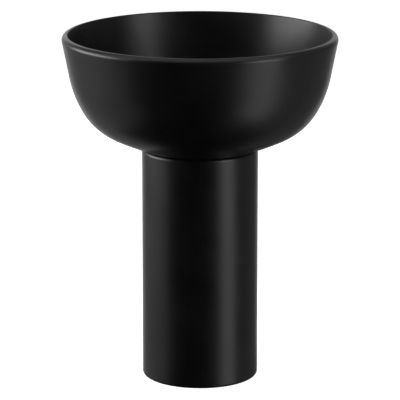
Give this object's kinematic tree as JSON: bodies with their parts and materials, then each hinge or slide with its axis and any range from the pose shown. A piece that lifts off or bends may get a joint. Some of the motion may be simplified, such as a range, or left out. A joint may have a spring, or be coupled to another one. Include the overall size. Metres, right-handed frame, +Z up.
{
  "type": "pedestal sink",
  "caption": "Free-standing round pedestal sink: a matte black ceramic bowl on a hollow column, with a push-to-close waste, bottle trap and floor drain pipe inside.",
  "frame": {"origin": "centre of the column's foot, on the floor", "axes": "+Z up along the column, -Y towards the user, +Y towards the service opening, the drain pipe stands on the -X side"},
  "size_m": [0.6269, 0.627, 0.8],
  "materials": {
    "black_glaze": "satin",
    "black_metal": "satin",
    "brass": "machined",
    "chrome": "polished",
    "zinc_steel": "zinc plated",
    "spring_steel": "drawn wire",
    "magnet_nickel": "nickel plated",
    "rubber": "matte",
    "trap_plastic": "satin moulded",
    "nut_plastic": "satin moulded",
    "cartridge_plastic": "moulded",
    "rotor_plastic": "moulded"
  },
  "bodies": {
    "stand": {"basin": "black_glaze", "basin_inserts": "brass", "basin_gasket": "rubber", "column": "black_glaze", "column_bolts": "zinc_steel", "column_washers": "zinc_steel", "waste_body": "chrome", "flange_seal": "rubber", "back_washer": "rubber", "slip_washer": "trap_plastic", "back_nut": "brass", "cartridge_housing": "cartridge_plastic", "plunger_spring": "spring_steel", "inlet_nut": "nut_plastic", "inlet_washer": "rubber", "inlet_tube": "trap_plastic", "body_nut": "nut_plastic", "body_washer": "rubber", "dip_tube": "trap_plastic", "trap_body": "trap_plastic", "cup_seal": "rubber", "outlet_nut": "nut_plastic", "outlet_washer": "rubber", "outlet_bend": "trap_plastic", "bend_nut": "nut_plastic", "bend_washer": "rubber", "floor_pipe": "trap_plastic", "panel_magnets": "magnet_nickel"},
    "plug": {"plug_cap": "black_metal", "plug_seal": "rubber", "plunger": "brass"},
    "latch": {"latch_rotor": "rotor_plastic"},
    "cup": {"trap_cup": "nut_plastic"},
    "panel": {"access_panel": "black_metal"}
  },
  "joints": [
    {"name": "plug_press", "type": "slide", "parent": "stand", "child": "plug", "axis": [0, 0, -1], "range_m": [0, 0.008], "stiffness_N_per_m": 400, "springref_m": -0.012, "deforming": ["plunger_spring"]},
    {"name": "latch_turn", "type": "hinge", "parent": "plug", "child": "latch", "pos_m": [0, 0, 0.51828], "axis": [0, 0, 1], "range_deg": [0, 45]},
    {"name": "cup_drop", "type": "slide", "parent": "stand", "child": "cup", "axis": [0, 0, -1], "range_m": [0, 0.085]},
    {"name": "panel_pull", "type": "slide", "parent": "stand", "child": "panel", "axis": [0, 1, 0], "range_m": [0, 0.12]}
  ],
  "couplings": [
    {"joint": "latch_turn", "follows": "plug_press", "rad_per_m": 98}
  ]
}
